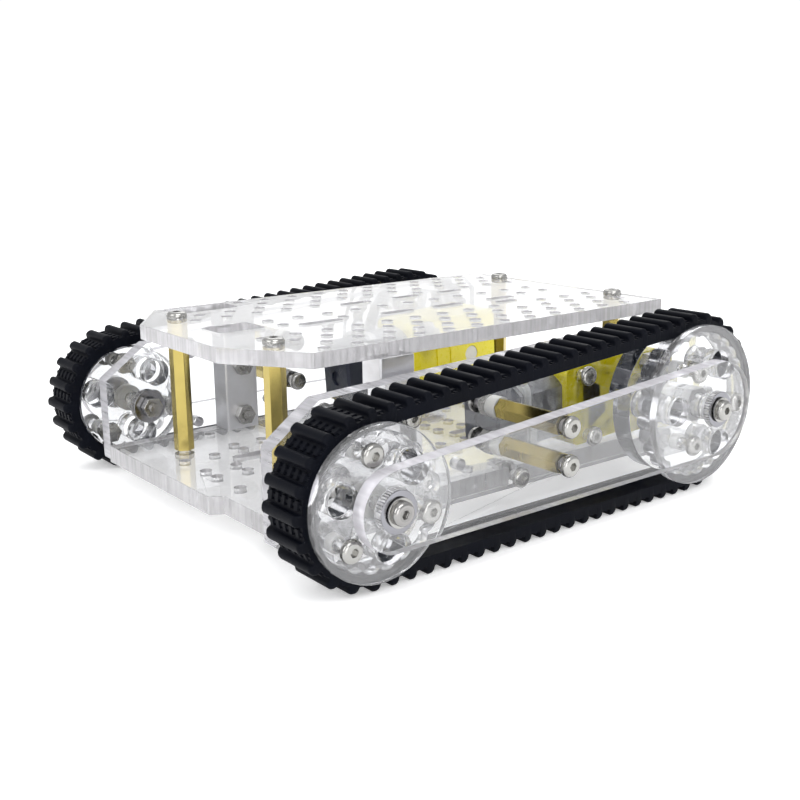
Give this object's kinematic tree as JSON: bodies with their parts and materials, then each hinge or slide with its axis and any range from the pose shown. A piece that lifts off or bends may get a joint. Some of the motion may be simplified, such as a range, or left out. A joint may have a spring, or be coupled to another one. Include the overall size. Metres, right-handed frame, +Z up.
{
  "type": "tracked robot chassis",
  "caption": "Clear acrylic tracked robot chassis with geared motors, laminated wheels, rubber tracks and an open deck for electronics.",
  "frame": {"origin": "on the ground under the middle of the chassis, halfway along the tracks", "axes": "+X forwards, towards the smaller idler wheels; +Y to the robot's left; +Z up"},
  "size_m": [0.1604, 0.1618, 0.0525],
  "materials": {
    "acrylic": "clear cast acrylic sheet, gloss faces, laser-cut edges",
    "brass": "turned brass, slightly dull",
    "steel": "nickel-plated steel",
    "bearing_steel": "ground bearing steel",
    "can_steel": "plated motor can",
    "aluminium": "machined aluminium",
    "nylon": "natural white nylon",
    "shaft_plastic": "white moulded plastic",
    "yellow_plastic": "bright yellow moulded plastic",
    "dark_plastic": "dark moulded plastic",
    "strap_plastic": "translucent white plastic",
    "rubber": "soft black rubber"
  },
  "bodies": {
    "chassis": {"top_deck": "acrylic", "bottom_deck": "acrylic", "left_side_plate": "acrylic", "right_side_plate": "acrylic", "left_outer_rail": "acrylic", "right_outer_rail": "acrylic", "deck_standoffs": "brass", "rail_standoffs": "brass", "deck_screws": "steel", "side_plate_screws": "steel", "side_plate_nuts": "steel", "rail_screws": "steel", "motor_screws": "steel", "upright_posts": "aluminium", "rail_nylon_spacers": "nylon", "bearing_outer_rings": "bearing_steel", "bearing_balls": "bearing_steel", "left_gearbox_case": "yellow_plastic", "left_gearbox_cover": "yellow_plastic", "left_motor_can": "can_steel", "left_motor_end_cap": "dark_plastic", "left_track": "rubber", "right_gearbox_case": "yellow_plastic", "right_gearbox_cover": "yellow_plastic", "right_motor_can": "can_steel", "right_motor_end_cap": "dark_plastic", "right_track": "rubber", "motor_terminals": "brass", "motor_straps": "strap_plastic"},
    "left_drive_wheel": {"left_drive_inner_disc": "acrylic", "left_drive_toothed_disc": "acrylic", "left_drive_flange_disc": "acrylic", "left_drive_wheel_spacers": "nylon", "left_drive_wheel_screws": "steel", "left_drive_axle_hardware": "steel", "left_drive_hub": "aluminium", "left_output_shaft": "shaft_plastic"},
    "left_idler_wheel": {"left_idler_inner_disc": "acrylic", "left_idler_toothed_disc": "acrylic", "left_idler_flange_disc": "acrylic", "left_idler_wheel_spacers": "nylon", "left_idler_wheel_screws": "steel", "left_idler_axle_hardware": "steel", "left_idler_axle_screw": "steel"},
    "right_drive_wheel": {"right_drive_inner_disc": "acrylic", "right_drive_toothed_disc": "acrylic", "right_drive_flange_disc": "acrylic", "right_drive_wheel_spacers": "nylon", "right_drive_wheel_screws": "steel", "right_drive_axle_hardware": "steel", "right_drive_hub": "aluminium", "right_output_shaft": "shaft_plastic"},
    "right_idler_wheel": {"right_idler_inner_disc": "acrylic", "right_idler_toothed_disc": "acrylic", "right_idler_flange_disc": "acrylic", "right_idler_wheel_spacers": "nylon", "right_idler_wheel_screws": "steel", "right_idler_axle_hardware": "steel", "right_idler_axle_screw": "steel"}
  },
  "joints": [
    {"name": "left_drive", "type": "hinge", "parent": "chassis", "child": "left_drive_wheel", "pos_m": [-0.05446, 0.0631, 0.02581], "axis": [0, 1, 0], "continuous": true},
    {"name": "left_idler", "type": "hinge", "parent": "chassis", "child": "left_idler_wheel", "pos_m": [0.05864, 0.0631, 0.02157], "axis": [0, 1, 0], "continuous": true},
    {"name": "right_drive", "type": "hinge", "parent": "chassis", "child": "right_drive_wheel", "pos_m": [-0.05446, -0.0631, 0.02581], "axis": [0, 1, 0], "continuous": true},
    {"name": "right_idler", "type": "hinge", "parent": "chassis", "child": "right_idler_wheel", "pos_m": [0.05864, -0.0631, 0.02157], "axis": [0, 1, 0], "continuous": true}
  ],
  "couplings": [
    {"joint": "left_idler", "follows": "left_drive", "ratio": 1.25},
    {"joint": "right_idler", "follows": "right_drive", "ratio": 1.25}
  ]
}
